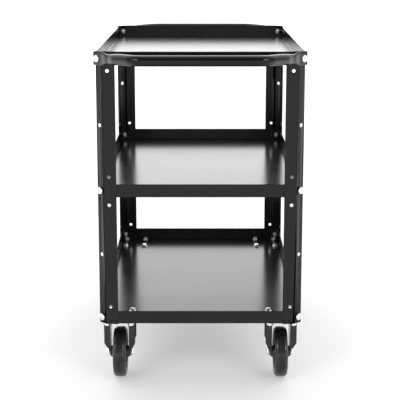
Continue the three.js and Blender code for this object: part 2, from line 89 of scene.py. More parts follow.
TYRE_SIDE = [(8.4, 0.5), (9.4, 0.5), (10.2, 0.0), (12.0, 0.3)]  # below the tread, in from the side
TYRE_SEAT = [(0.4, 13.3), (0.0, 12.8)]  # above the bore, out from the middle
HUB = {"boss": 15.0, "bore": 5.5, "bead": 13.0, "web": 4.0, "ribs": 8, "rib_half": 1.4}
FIXED_FORK = {"front": -28.0, "rear": 28.0, "shoulder": 94.0, "axle_y": 0.0, "rim": 38.5, "rim_end": 94.0}
SWIVEL_FORK = {"front": -27.0, "rear": 59.0, "shoulder": 116.0, "axle_y": 37.0, "rim": 33.0, "rim_end": 100.0}
BEND_STEPS = 5
EDGE = 0.3  # what is turned off the edges of bolts and washers
PAST = 60.0  # where a cutter ends, clear of a caster's side
THROUGH = 6.0  # how far a cutter passes a tray's sheet


def box_mm(node):
    """A CAD node's lowest and highest corner, in millimetres."""
    low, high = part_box(node)
    return low / MM, high / MM


# Mesh helpers. Outlines and profiles are in millimetres, and meshes are in metres.
def made(name, points, faces):
    mesh = bpy.data.meshes.new(name)
    mesh.from_pydata([Vector(p) * MM for p in points], [], faces)
    shell = bmesh.new()
    shell.from_mesh(mesh)
    bmesh.ops.recalc_face_normals(shell, faces=shell.faces)
    shell.to_mesh(mesh)
    shell.free()
    return mesh


def loft(name, rings, closed=False):
    """A solid through rings with equal numbers of points. Its ends are capped, or joined up when closed."""
    count = len(rings[0])
    points = [p for ring in rings for p in ring]
    faces = []
    for i in range(len(rings) if closed else len(rings) - 1):
        a, b = i * count, (i + 1) % len(rings) * count
        for j in range(count):
            k = (j + 1) % count
            faces.append((a + j, a + k, b + k, b + j))
    if not closed:
        faces.append(tuple(range(count)))
        faces.append(tuple(len(points) - count + j for j in reversed(range(count))))
    return made(name, points, faces)


def prism(name, outline, low, high, axis="Z"):
    """An outline raised along an axis. It is drawn in (X, Y) for Z, (Y, Z) for X and (X, Z) for Y."""
    lay = {
        "Z": lambda u, v, w: (u, v, w),
        "X": lambda u, v, w: (w, u, v),
        "Y": lambda u, v, w: (u, w, v),
    }[axis]
    return loft(name, [[lay(u, v, w) for u, v in outline] for w in (low, high)])


def block(name, low, high):
    outline = [(low[0], low[1]), (high[0], low[1]), (high[0], high[1]), (low[0], high[1])]
    return prism(name, outline, low[2], high[2])


def turned(name, profile, steps=64):
    """A turned solid about Z from (radius, height) points that start and end on the axis or close up."""
    closed = profile[0] == profile[-1]
    profile = profile[:-1] if closed else profile
    points, rows, faces = [], [], []
    for radius, height in profile:
        if radius == 0:
            rows.append([len(points)] * steps)
            points.append((0, 0, height))
            continue
        rows.append(list(range(len(points), len(points) + steps)))
        for i in range(steps):
            angle = math.tau * i / steps
            points.append((radius * math.cos(angle), radius * math.sin(angle), height))
    for i in range(len(rows) if closed else len(rows) - 1):
        low, high = rows[i], rows[(i + 1) % len(rows)]
        for j in range(steps):
            k = (j + 1) % steps
            corners = dict.fromkeys((low[j], low[k], high[k], high[j]))
            if len(corners) > 2:
                faces.append(tuple(corners))
    return made(name, points, faces)


def rod(name, radius, low, high, steps=32, ease=0.0):
    if not ease:
        return turned(name, [(0, low), (radius, low), (radius, high), (0, high)], steps)
    return turned(name, [
        (0, low), (radius - ease, low), (radius, low + ease), (radius, high - ease), (radius - ease, high),
        (0, high),
    ], steps)


def hexagon(name, flats, low, high):
    """A hexagonal head or nut with its corners turned off at both ends."""
    corner = flats / 2 / math.cos(math.pi / 6)
    inwards, along = HEXAGON_EASE
    angles = [math.tau * (i + 0.5) / 6 + math.pi / 6 for i in range(6)]
    rings = []
    for height, pull in ((low, inwards), (low + along, 0), (high - along, 0), (high, inwards)):
        radius = corner - pull
        rings.append([(radius * math.cos(angle), radius * math.sin(angle), height) for angle in angles])
    return loft(name, rings)


def moved(mesh, matrix):
    copy = mesh.copy()
    copy.transform(matrix)
    if matrix.determinant() < 0:
        copy.flip_normals()
    return copy


def shifted(mesh, x=0.0, y=0.0, z=0.0):
    return moved(mesh, Matrix.Translation(Vector((x, y, z)) * MM))


def turned_to(direction):
    """The turn that points Z along a level direction and keeps Y upright."""
    z = Vector(direction).normalized()
    y = Vector((0, 0, 1))
    x = y.cross(z)
    return Matrix((x, y, z)).transposed().to_4x4()


def aimed(mesh, direction, place=(0, 0, 0)):
    return moved(mesh, Matrix.Translation(Vector(place) * MM) @ turned_to(direction))


def gathered(name, meshes):
    """Several separate meshes in one."""
    whole = bmesh.new()
    for mesh in meshes:
        whole.from_mesh(mesh)
    result = bpy.data.meshes.new(name)
    whole.to_mesh(result)
    whole.free()
    return result


def combined(base, tool, operation):
    body = bpy.data.objects.new("body", base)
    other = bpy.data.objects.new("tool", tool)
    for item in (body, other):
        bpy.context.scene.collection.objects.link(item)
    step = body.modifiers.new("step", "BOOLEAN")
    step.operation = operation
    step.solver = "EXACT"
    step.object = other
    graph = bpy.context.evaluated_depsgraph_get()
    result = bpy.data.meshes.new_from_object(body.evaluated_get(graph))
    for item in (body, other):
        bpy.data.objects.remove(item)
    return result


def cut(base, *tools):
    return combined(base, gathered("cutters", tools), "DIFFERENCE")


def join(base, *others):
    for other in others:
        base = combined(base, other, "UNION")
    return base


def arc(centre, radius, start, end, steps):
    return [
        (centre[0] + radius * math.cos(start + (end - start) * i / steps),
         centre[1] + radius * math.sin(start + (end - start) * i / steps))
        for i in range(steps + 1)
    ]


def filleted(points, radius, steps, closed=True):
    """The outline with each corner rounded."""
    result = []
    for i, point in enumerate(points):
        if not closed and i in (0, len(points) - 1):
            result.append(tuple(point))
            continue
        here = Vector(point)
        before = (Vector(points[i - 1]) - here).normalized()
        after = (Vector(points[(i + 1) % len(points)]) - here).normalized()
        half = before.angle(after) / 2
        middle = here + (before + after).normalized() * radius / math.sin(half)
        first = here + before * radius / math.tan(half) - middle
        last = here + after * radius / math.tan(half) - middle
        for step in range(steps + 1):
            along = first.slerp(last, step / steps)
            result.append(tuple(middle + along))
    return result


def piece(name, mesh, body, finish, replaces, ease=0.25, smooth=40, flat=False):
    """An object for a finished mesh, with softened edges, its finish, and what it rides on."""
    slot, material = finish
    item = bpy.data.objects.new(name, mesh)
    bpy.context.scene.collection.objects.link(item)
    mesh.materials.clear()
    mesh.materials.append(material)
    if ease:
        soften = item.modifiers.new("edges", "BEVEL")
        soften.width = ease * MM
        soften.segments = 2
        soften.limit_method = "ANGLE"
        soften.angle_limit = math.radians(smooth)
        soften.harden_normals = True
        soften.use_clamp_overlap = True
    mesh.shade_smooth()
    mesh.set_sharp_from_angle(angle=math.radians(smooth))
    if flat:  # a wide face keeps its own normal up to the bends around it
        weigh = item.modifiers.new("flat_faces", "WEIGHTED_NORMAL")
        weigh.mode = "FACE_AREA"
        weigh.weight = 100
        weigh.keep_sharp = True
    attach(item, body)
    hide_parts(*replaces)


# Materials. A pattern moves a look from one limit to the other between the two ends of its span.
GLOSS_SPAN = (0.3, 0.7)
TINT_SPAN = (0.35, 0.75)


def shader(name, base, roughness, metallic=0.0, ior=1.5):
    material = bpy.data.materials.new(name)
    material.use_nodes = True
    surface = material.node_tree.nodes["Principled BSDF"]
    surface.inputs["Base Color"].default_value = (*base, 1)
    surface.inputs["Roughness"].default_value = roughness
    surface.inputs["Metallic"].default_value = metallic
    surface.inputs["IOR"].default_value = ior
    return material, surface


def noise(material, scale, detail, stretch=(1, 1, 1)):
    """Noise in the object's own space. Scale is in cells a metre."""
    nodes, links = material.node_tree.nodes, material.node_tree.links
    where = nodes.new("ShaderNodeTexCoord")
    fit = nodes.new("ShaderNodeMapping")
    fit.inputs["Scale"].default_value = stretch
    texture = nodes.new("ShaderNodeTexNoise")
    texture.inputs["Scale"].default_value = scale
    texture.inputs["Detail"].default_value = detail
    links.new(where.outputs["Object"], fit.inputs["Vector"])
    links.new(fit.outputs["Vector"], texture.inputs["Vector"])
    return texture.outputs["Fac"]


def vary(material, surface, pattern, low, high):
    """Moves the roughness between low and high along a pattern."""
    nodes, links = material.node_tree.nodes, material.node_tree.links
    spread = nodes.new("ShaderNodeMapRange")
    limits = (("From Min", GLOSS_SPAN[0]), ("From Max", GLOSS_SPAN[1]), ("To Min", low), ("To Max", high))
    for name, number in limits:
        spread.inputs[name].default_value = number
    links.new(pattern, spread.inputs["Value"])
    links.new(spread.outputs["Result"], surface.inputs["Roughness"])


def tint(material, surface, pattern, dark, light):
    """Moves the base colour between dark and light along a pattern."""
    nodes, links = material.node_tree.nodes, material.node_tree.links
    shades = nodes.new("ShaderNodeValToRGB")
    for element, position, colour in zip(shades.color_ramp.elements, TINT_SPAN, (dark, light)):
        element.position = position
        element.color = (*colour, 1)
    links.new(pattern, shades.inputs["Fac"])
    links.new(shades.outputs["Color"], surface.inputs["Base Color"])


def bumped(material, surface, layers):
    """Stacks bumps of (height value, distance in mm, strength) onto the surface."""
    nodes, links = material.node_tree.nodes, material.node_tree.links
    below = None
    for value, distance, strength in layers:
        bump = nodes.new("ShaderNodeBump")
        bump.inputs["Distance"].default_value = distance * MM
        bump.inputs["Strength"].default_value = strength
        links.new(value, bump.inputs["Height"])
        if below is not None:
            links.new(below, bump.inputs["Normal"])
        below = bump.outputs["Normal"]
    links.new(below, surface.inputs["Normal"])


def powder_coat(name, ior, glossy, dull, peel_depth):
    """Semi-gloss black powder coat: a fine orange-peel skin, faint dust and slow changes of gloss."""
    material, surface = shader(name, (0.003, 0.003, 0.0035), glossy, ior=ior)
    tint(material, surface, noise(material, 14, 6), (0.002, 0.002, 0.0025), (0.0045, 0.0045, 0.005))
    vary(material, surface, noise(material, 7, 3), glossy, dull)
    bumped(material, surface, [(noise(material, 500, 2), peel_depth, 0.12)])
    return material


def caster_paint():
    """Glossier black paint on pressed caster steel."""
    material, surface = shader("caster_paint", (0.008, 0.008, 0.010), 0.14, ior=1.5)
    tint(material, surface, noise(material, 30, 5), (0.005, 0.005, 0.007), (0.014, 0.014, 0.016))
    vary(material, surface, noise(material, 22, 4), 0.10, 0.20)
    bumped(material, surface, [(noise(material, 60, 3), 0.4, 0.5)])
    return material


def zinc():
    """Bright zinc plate with the fine lines that turning leaves."""
    material, surface = shader("zinc", (0.85, 0.85, 0.86), 0.25, metallic=1.0)
    tint(material, surface, noise(material, 120, 4), (0.76, 0.77, 0.78), (0.92, 0.92, 0.92))
    vary(material, surface, noise(material, 260, 3), 0.20, 0.34)
    bumped(material, surface, [(noise(material, 900, 2, (1, 1, 6)), 0.02, 0.2)])
    return material


def rubber():
    """Solid black rubber with a worn tread: rubbed patches shine and the rest is slightly dusty."""
    material, surface = shader("tread_rubber", (0.012, 0.012, 0.013), 0.35)
    tint(material, surface, noise(material, 60, 6), (0.004, 0.004, 0.005), (0.020, 0.019, 0.019))
    vary(material, surface, noise(material, 45, 5), 0.12, 0.40)
    grain = (noise(material, 700, 3), 0.08, 0.3)
    wear = (noise(material, 110, 3, (3, 1, 1)), 0.7, 0.6)
    bumped(material, surface, [grain, wear])
    return material


def nylon():
    """Moulded dark nylon with a fine spark-eroded texture."""
    material, surface = shader("wheel_core", (0.040, 0.041, 0.043), 0.42)
    tint(material, surface, noise(material, 40, 4), (0.032, 0.033, 0.035), (0.050, 0.051, 0.053))
    vary(material, surface, noise(material, 70, 3), 0.36, 0.52)
    bumped(material, surface, [(noise(material, 1100, 2), 0.04, 0.35)])
    return material


# The finishes: a material slot of the frame and the material that fills it.
COATED = ("black_powder_coat", powder_coat("powder_coat", 1.38, 0.18, 0.205, 0.012))
COATED_TUBE = ("black_powder_coat", powder_coat("tube_powder_coat", 1.34, 0.05, 0.08, 0.02))
PAINTED = ("black_caster_steel", caster_paint())
BRIGHT = ("zinc_fastener", zinc())
TREAD_RUBBER = ("tread_rubber", rubber())
CORE = ("wheel_core", nylon())


# Where the cart's outside lies, from the frame
POST_LOW, POST_HIGH = box_mm("post_rear_right")
HALF_X, HALF_Y = POST_HIGH.x, POST_HIGH.y
FLANGE = HALF_X - POST_LOW.x - POST["chamfer"]
CHAMFER_AT = (HALF_X - POST["chamfer"] / 2, HALF_Y - POST["chamfer"] / 2)
TRAY_Z = [box_mm(f"tray_{level}")[0].z for level in LEVELS]
BOLT_Z = [z + TRAY["bolt"] for z in TRAY_Z]
MIRRORS = {(end, side): Matrix.Diagonal((SIDES[side], ENDS[end], 1, 1)) for end, side in CORNERS}


def corner_line(inset):
    """Where |x| + |y| lies along the chamfer, for a skin that is inset."""
    return HALF_X + HALF_Y - POST["chamfer"] - inset * math.sqrt(2)


def level_hole(radius, direction, x, y, z, depth=12.0):
    return aimed(rod("hole", radius, -depth, depth, 36), direction, (x, y, z))


def corner_hole(z):
    return level_hole(HOLE["corner"], (1, 1, 0), *CHAMFER_AT, z)


def pin_holes(z):
    return [level_hole(HOLE["pin"], (0, 1, 0), HALF_X - inset, HALF_Y, z) for inset in PINS_IN]


def post_mesh():
    """The post at +X +Y: two flanges and a chamfered face, with rounded bends and rows of holes."""
    reach = POST["chamfer"] + FLANGE

    def skin(inset, radius):
        line = corner_line(inset)
        x, y = HALF_X - inset, HALF_Y - inset
        corners = [(x, HALF_Y - reach), (x, line - x), (line - y, y), (HALF_X - reach, y)]
        return filleted(corners, radius, BEND_STEPS, closed=False)

    outside = skin(0, POST["bend"] + POST["sheet"])
    inside = skin(POST["sheet"], POST["bend"])
    sheet = prism("post", outside + inside[::-1], POST_LOW.z, POST_HIGH.z - INSIDE)
    holes = [corner_hole(z) for z in (*BOLT_Z, *HOLE["spare"])]
    for z in FLANGE_HOLES_Z:
        holes.append(level_hole(HOLE["flange"], (0, 1, 0), HALF_X - HOLE["flange_in"], HALF_Y, z))
        holes.append(level_hole(HOLE["flange"], (1, 0, 0), HALF_X, HALF_Y - HOLE["flange_in"], z))
    holes += pin_holes(BOLT_Z[0] - PINS_BELOW)
    return cut(sheet, *holes)


def tray_mesh(level):
    """A tray with rounded bends under and inside its lip, and rounded upright corners."""
    low, high = box_mm(f"tray_{level}")
    tall = high.z - low.z
    sheet, bend = TRAY["sheet"], TRAY["bend"]
    outset = POST["sheet"] + GAP
    outer_bend = bend + sheet
    outside = arc((0, 0), outer_bend, math.pi / 2, 0, BEND_STEPS)
    inside = arc((0, 0), bend, 0, math.pi / 2, BEND_STEPS)
    ease = sheet * 0.3
    skins = [(outer_bend - dx, outer_bend - dz) for dx, dz in outside]
    skins += [(0, tall - ease), (ease, tall), (sheet - ease, tall), (sheet, tall - ease)]
    skins += [(sheet + bend - dx, sheet + bend - dz) for dx, dz in inside]

    def ring(inset, height):
        line = corner_line(outset + inset)
        x, y = HALF_X - outset - inset, HALF_Y - outset - inset
        quarter = [(x, line - x), (line - y, y)]
        outline = quarter + [(-px, py) for px, py in reversed(quarter)]
        outline += [(-px, -py) for px, py in outline]
        return [(px, py, low.z + height) for px, py in filleted(outline, TRAY["corner"], 3)]

    sheet_mesh = loft(f"tray_{level}", [ring(inset, height) for inset, height in skins])
    middle = low.z + TRAY["bolt"]
    holes = []
    for flip in MIRRORS.values():
        pins = pin_holes(middle) if level == "top" else []
        holes += [moved(hole, flip) for hole in (corner_hole(middle), *pins)]
    if level == "bottom":
        for x, y in CASTER_BOLTS:
            holes.append(shifted(rod("hole", CASTER["plate_hole"], -THROUGH, THROUGH), x, y, low.z))
    return cut(sheet_mesh, *holes)


def caster_centre(end, side):
    node = f"fixed_bracket_{side}" if end == "front" else f"swivel_plate_{side}"
    low, high = box_mm(node)
    return (low + high) / 2


CASTER_BOLTS = [
    (caster_centre(end, side).x + across, caster_centre(end, side).y + along)
    for end, side in CORNERS
    for across in (-CASTER["bolt_x"], CASTER["bolt_x"])
    for along in (-CASTER["bolt_y"], CASTER["bolt_y"])
]


# The handle: a tube whose ends are pressed flat and lie on the chamfers of two posts
TAB_X = CHAMFER_AT[0] + (GAP + HANDLE["tab_thick"] / 2) * math.sqrt(0.5)
TAB_Y = CHAMFER_AT[1] + (GAP + HANDLE["tab_thick"] / 2) * math.sqrt(0.5)
BAR_Y = box_mm("handle_rear")[1].y - HANDLE["tube"] / 2
LEG = (BAR_Y - TAB_Y) * math.sqrt(2) - HANDLE["bend"] * math.tan(math.pi / 8)


def smooth_step(value, start, end):
    t = min(max((value - start) / (end - start), 0.0), 1.0)
    return t * t * (3 - 2 * t)


def handle_frame(u):
    """The tube's centre in plan and the direction across it, at a distance u from the corner bolt."""
    run = min(u, LEG)
    turn = min(max((u - LEG) / HANDLE["bend"], 0.0), math.pi / 4)
    across = math.pi / 4 + turn
    x = TAB_X - run * math.sqrt(0.5) + HANDLE["bend"] * (math.cos(across) - math.sqrt(0.5))
    y = TAB_Y + run * math.sqrt(0.5) + HANDLE["bend"] * (math.sin(across) - math.sqrt(0.5))
    return x, y, across


def handle_ring(u, side, inset, steps=40):
    """The tube's section at u: pressed flat at its end, then a neck, then round."""
    x, y, across = handle_frame(u)
    to_neck = smooth_step(u, HANDLE["tab_end"], HANDLE["neck_at"])
    to_round = smooth_step(u, HANDLE["neck_at"], HANDLE["round_at"])
    tube, neck_tall, neck_thick = HANDLE["tube"], HANDLE["neck_tall"], HANDLE["neck_thick"]
    tall = HANDLE["tab_tall"] + (neck_tall - HANDLE["tab_tall"]) * to_neck + (tube - neck_tall) * to_round
    thick = HANDLE["tab_thick"] + (neck_thick - HANDLE["tab_thick"]) * to_neck
    thick += (tube - neck_thick) * to_round
    rise = smooth_step(u, 0, HANDLE["round_at"] * 1.5)
    centre_z = HANDLE["tab_z"] + (HANDLE["bar_z"] - HANDLE["tab_z"]) * rise
    straight = (tall - thick) / 2
    radius = thick / 2 - inset
    ring = []
    for i in range(steps):
        angle = math.tau * (i + 0.5) / steps
        reach, up = radius * math.cos(angle), radius * math.sin(angle)
        up += math.copysign(straight, up)
        ring.append((side * (x + reach * math.cos(across)), y + reach * math.sin(across), centre_z + up))
    return ring


def spread_out(start, end, steps):
    """Even steps from just after start up to end."""
    return [start + (end - start) * i / steps for i in range(1, steps + 1)]


def handle_mesh():
    """A tube through rings that stand closest where its ends are pressed flat."""
    tab_end, round_at = HANDLE["tab_end"], HANDLE["round_at"]
    half = [-tab_end] + spread_out(-tab_end, tab_end, 3) + spread_out(tab_end, round_at, 23)
    half += spread_out(round_at, LEG, 4) + spread_out(LEG, LEG + HANDLE["bend"] * math.pi / 4, 10)
    stations = [(u, 1) for u in half] + [(u, -1) for u in reversed(half)]
    skins = [handle_ring(u, side, 0) for u, side in stations]
    bore = [handle_ring(u, side, HANDLE["wall"]) for u, side in reversed(stations)]
    tube = loft("handle", skins + bore, closed=True)
    holes = [
        level_hole(HOLE["corner"], (side, 1, 0), side * CHAMFER_AT[0], CHAMFER_AT[1], BOLT_Z[2])
        for side in (-1, 1)
    ]
    return cut(tube, *holes)


# Fasteners
def cross_recess(top):
    """The cutter for a cross recess: two tapered blades."""
    blades = []
    for turn in (0, math.pi / 2):
        rings = []
        for height, long, wide in RECESS:
            corners = ((long, -wide), (long, wide), (-long, wide), (-long, -wide))
            rings.append([(x, y, top + height) for x, y in corners])
        blades.append(moved(loft("blade", rings), Matrix.Rotation(turn + RECESS_TURN, 4, "Z")))
    return join(*blades)


def corner_bolt_mesh(under_head):
    """Along Z, with the head outside. Z = 0 is the face of the post."""
    seat = under_head + GAP
    top = seat + BOLT["dome"]
    washer = -(POST["sheet"] + GAP + TRAY["sheet"] + GAP)
    nut = washer - BOLT["washer_thick"]
    head, wide, shank, rim, end = BOLT["head"], BOLT["washer"], BOLT["shank"], BOLT["rim"], -BOLT["reach"]
    angles = [math.pi / 2 * i / 9 for i in range(10)]
    dome = [(head * math.sin(t), seat + rim + (BOLT["dome"] - rim) * math.cos(t)) for t in angles]
    dome[0] = (0, top)
    body = turned("corner_bolt", dome + [
        (head, seat + EDGE), (head - EDGE, seat), (shank, seat), (shank, washer), (wide - EDGE, washer),
        (wide, washer - EDGE), (wide, nut + EDGE), (wide - EDGE, nut), (shank, nut), (shank, end + 2 * EDGE),
        (shank - 2 * EDGE, end), (0, end),
    ], 48)
    body = cut(body, cross_recess(top))
    return join(body, hexagon("nut", BOLT["flats"], nut - BOLT["nut"], nut))


def caster_bolt_mesh():
    """A flanged head on the tray's floor and a nut under the caster's plate, at the cart's heights."""
    low, high = box_mm("caster_bolt_front_left_1")
    seat = TRAY_Z[0] + TRAY["sheet"] + GAP
    nut_top = TRAY_Z[0] - GAP - CASTER["plate"] - GAP
    flange = (high.x - low.x) / 2
    head = turned("caster_bolt", [
        (0, seat), (flange - EDGE, seat), (flange, seat + EDGE), (flange, seat + CASTER_BOLT["rim"]),
        (flange - 1.2, seat + 1.5), (4, seat + 1.8), (0, seat + 1.8),
    ], 40)
    hexagonal = hexagon("head", CASTER_BOLT["flats"], seat + 1, high.z)
    shank = rod("shank", CASTER_BOLT["shank"], low.z, seat + 1, 28, 0.5)
    nut = hexagon("nut", CASTER_BOLT["nut_flats"], nut_top - CASTER_BOLT["nut"], nut_top)
    return join(head, hexagonal, shank, nut)


# Caster pieces, each about its caster's upright axis, at the cart's heights
PLATE_TOP = TRAY_Z[0] - GAP
PLATE_LOW = PLATE_TOP - CASTER["plate"]
WHEEL_LOW, WHEEL_HIGH = box_mm("tyre_front_left")
WHEEL_R = (WHEEL_HIGH.z - WHEEL_LOW.z) / 2
TREAD = (WHEEL_HIGH.x - WHEEL_LOW.x) / 2


def plate_mesh():
    low, high = box_mm("fixed_bracket_left")
    x, y = (high.x - low.x) / 2, (high.y - low.y) / 2
    outline = filleted([(x, y), (-x, y), (-x, -y), (x, -y)], CASTER["round"], 6)
    holes = [
        shifted(rod("hole", CASTER["plate_hole"], PLATE_LOW - 2, PLATE_TOP + 2), across, along)
        for across in (-CASTER["bolt_x"], CASTER["bolt_x"])
        for along in (-CASTER["bolt_y"], CASTER["bolt_y"])
    ]
    return cut(prism("plate", outline, PLATE_LOW, PLATE_TOP), *holes)


def cheek_outline(fork, top, inset):
    """A cheek in (Y, Z): upright to its shoulders, then straight to a round boss about the axle."""
    boss = CASTER["boss"] - inset

    def tangent(y, side):
        dy, dz = side * (y - fork["axle_y"]) - inset, fork["shoulder"] - WHEEL_R
        return math.atan2(dz, dy) - math.acos(boss / math.hypot(dy, dz))

    rear, front = tangent(fork["rear"], 1), math.pi - tangent(fork["front"], -1)
    outline = [(fork["front"] + inset, top), (fork["front"] + inset, fork["shoulder"])]
    outline += arc((fork["axle_y"], WHEEL_R), boss, front, rear + math.tau, 18)
    return outline + [(fork["rear"] - inset, fork["shoulder"]), (fork["rear"] - inset, top)]


def cheek_mesh(fork, top):
    """One cheek at +X: a plate and a rim turned outwards round its edge, which narrows towards the axle."""
    inner, outer, rim = CASTER["inner"], CASTER["inner"] + CASTER["cheek"], fork["rim"]
    plate = prism("cheek", cheek_outline(fork, top, 0), inner, outer, "X")
    solid = prism("rim", cheek_outline(fork, top, 0), inner, rim, "X")
    hollow = prism("hollow", cheek_outline(fork, top + 5, CASTER["cheek"]), inner - 5, PAST, "X")
    taper = prism("taper", [
        (inner, top + 1), (rim + 1, top + 1), (rim, fork["rim_end"]), (outer, CASTER["boss_end"]),
        (inner - 1, CASTER["boss_end"]),
    ], -2 * PAST, 2 * PAST, "Y")
    edge = combined(cut(solid, hollow), taper, "INTERSECT")
    hole = level_hole(CASTER["axle_hole"], (1, 0, 0), 0, fork["axle_y"], WHEEL_R, PAST)
    return cut(join(plate, edge), hole)


def both_cheeks(fork, top):
    cheek = cheek_mesh(fork, top)
    return [cheek, moved(cheek, Matrix.Diagonal((-1, 1, 1, 1)))]


def fixed_bracket_mesh():
    return join(plate_mesh(), *both_cheeks(FIXED_FORK, PLATE_LOW + 0.5))


def swivel_plate_mesh():
    race, bore, cup = SWIVEL["race"], SWIVEL["bore"], SWIVEL["cup"]
    ring = turned("cup", [
        (bore, cup + 1), (race - 6, cup + 1), (race - 4, cup), (race - 0.8, cup), (race, cup + 0.8),
        (race, PLATE_LOW - 2), (race - 3, PLATE_LOW + 0.5), (bore, PLATE_LOW + 0.5), (bore, cup + 1),
    ], 72)
    through = rod("through", bore, PLATE_LOW - 1, PLATE_TOP + 1)
    seat = rod("seat", SWIVEL["pin_head"] + GAP, PLATE_LOW + 1, PLATE_TOP + 1)
    return cut(cut(join(plate_mesh(), ring), through), seat)


def swivel_fork_mesh():
    race, bore, crown, roof = SWIVEL["race"], SWIVEL["bore"], SWIVEL["crown"], SWIVEL["roof"]
    half = CASTER["inner"] + CASTER["cheek"]
    under = roof - SWIVEL["roof_thick"]
    top = block("roof", (-half, SWIVEL_FORK["front"], under), (half, SWIVEL["roof_end"], roof))
    ring = turned("crown", [
        (bore, roof - 2), (race - 6, roof - 2), (race, roof + 1.5), (race, crown - 0.8), (race - 0.8, crown),
        (race - 4, crown), (race - 6, crown - 1), (bore, crown - 1), (bore, roof - 2),
    ], 72)
    through = rod("through", bore, *SWIVEL["through"])
    brake_hole = level_hole(BRAKE["hole"], (1, 0, 0), 0, BRAKE["y"], BRAKE["z"], PAST)
    return cut(join(top, ring, *both_cheeks(SWIVEL_FORK, roof)), through, brake_hole)


def kingpin_mesh():
    under = SWIVEL["roof"] - SWIVEL["roof_thick"] - GAP
    seat = PLATE_LOW + 1 + GAP
    head = rod("kingpin", SWIVEL["pin_head"], seat, PLATE_TOP, 40, 0.4)
    shank = rod("shank", SWIVEL["pin"], under - KINGPIN["past"], seat + 0.5, 32, 0.5)
    return join(head, shank, hexagon("nut", KINGPIN["nut_flats"], under - KINGPIN["nut"], under))


def axle_mesh():
    outside = CASTER["inner"] + CASTER["cheek"] + GAP
    shank = rod("axle", CASTER["axle"], -outside - AXLE["past"], outside + 1, 36, 0.7)
    head = hexagon("head", AXLE["flats"], outside, outside + AXLE["head"])
    nut = hexagon("nut", AXLE["flats"], -outside - AXLE["nut"], -outside)
    return aimed(join(shank, head, nut), (1, 0, 0))


def tyre_mesh():
    """A solid tyre with rounded shoulders, fine grooves round its tread and a bead on each side."""
    inner = box_mm("hub_front_left")[1].z - WHEEL_R + GAP + TYRE["slack"]
    shoulder, flat, slope, wide = TYRE["shoulder"], TYRE["flat"], TYRE["slope"], TYRE["wide"]
    floor = WHEEL_R - TYRE["deep"]
    half = []
    for start in TYRE["grooves"]:
        half += [(WHEEL_R, start), (floor, start + slope), (floor, start + wide - slope)]
        half.append((WHEEL_R, start + wide))
    steps = 8
    for i in range(steps + 1):
        t = math.pi / 2 * i / steps
        half.append((WHEEL_R - shoulder + shoulder * math.cos(t), flat + (TREAD - flat) * math.sin(t)))
    half += [(WHEEL_R - down, TREAD - inwards) for down, inwards in TYRE_SIDE]
    half += [(inner + up, along) for up, along in TYRE_SEAT]
    profile = half + [(radius, -along) for radius, along in reversed(half)]
    return aimed(turned("tyre", profile + profile[:1], 112), (1, 0, 0))


def hub_mesh():
    """A moulded hub: boss, dished web with ribs and cored pockets, and a rim with a lip."""
    low, high = box_mm("hub_front_left")
    half, rim = (high.x - low.x) / 2, (high.z - low.z) / 2
    boss, bore, bead, web = HUB["boss"], HUB["bore"], HUB["bead"], HUB["web"]
    side = [
        (bore, half), (boss - 1.5, half), (boss - 0.5, half - 1), (boss, web + 4), (boss + 2, web + 2),
        (rim - 9, web), (rim - 7.4, web + 1), (rim - 6.6, bead - 0.6), (rim - 6, bead), (rim - 0.5, bead),
        (rim, bead - 0.5),
    ]
    profile = side + [(radius, -along) for radius, along in reversed(side)]
    hub = turned("hub", profile + profile[:1], 80)
    ribs = []
    for i in range(HUB["ribs"]):
        rib = block("rib", (boss - 2, -HUB["rib_half"], 1.5 - bead), (rim - 5, HUB["rib_half"], bead - 1.5))
        ribs.append(moved(rib, Matrix.Rotation(math.tau * i / HUB["ribs"], 4, "Z")))
    return aimed(join(hub, *ribs), (1, 0, 0))


def pedal_mesh():
    """A bent pedal with a shoe over the tyre and grooves across its tread, fixed on its pin."""
    y, z, half = BRAKE["y"], BRAKE["z"], BRAKE["half"]
    lever = filleted([(y + along, z + up) for along, up in PEDAL_OUTLINE], BRAKE["round"], 2)
    pedal = prism("pedal", lever, -half, half, "X")
    pin = rod("pin", BRAKE["pin"], -BRAKE["pin_half"], BRAKE["pin_half"], 28, 0.5)
    pin = aimed(pin, (1, 0, 0), (0, y, z))
    (tread_start, tread_top), (tread_end, tread_foot) = PEDAL_OUTLINE[2:4]
    wide, margin = PEDAL_GROOVES["half"], PEDAL_GROOVES["margin"]
    grooves = []
    for i in range(PEDAL_GROOVES["count"]):
        along = PEDAL_GROOVES["first"] + PEDAL_GROOVES["pitch"] * i
        drop = (tread_top - tread_foot) * (along - tread_start) / (tread_end - tread_start)
        height = z + tread_top - drop
        low = (margin - half, y + along - wide, height - wide)
        high = (half - margin, y + along + wide, height + PEDAL_GROOVES["above"])
        grooves.append(block("groove", low, high))
    return cut(join(pedal, pin), *grooves)


# The assembly
def build_structure():
    post = post_mesh()
    for end, side in CORNERS:
        node = f"post_{end}_{side}"
        piece(f"coated_{node}", moved(post, MIRRORS[end, side]), "frame", COATED, [node])
    for level in LEVELS:
        node = f"tray_{level}"
        piece(f"coated_{node}", tray_mesh(level), "frame", COATED, [node], 0.2, flat=True)
    handle = handle_mesh()
    for end, sign in ENDS.items():
        node = f"handle_{end}"
        mesh = moved(handle, Matrix.Diagonal((1, sign, 1, 1)))
        piece(f"coated_{node}", mesh, "frame", COATED_TUBE, [node], 0.2, 50)


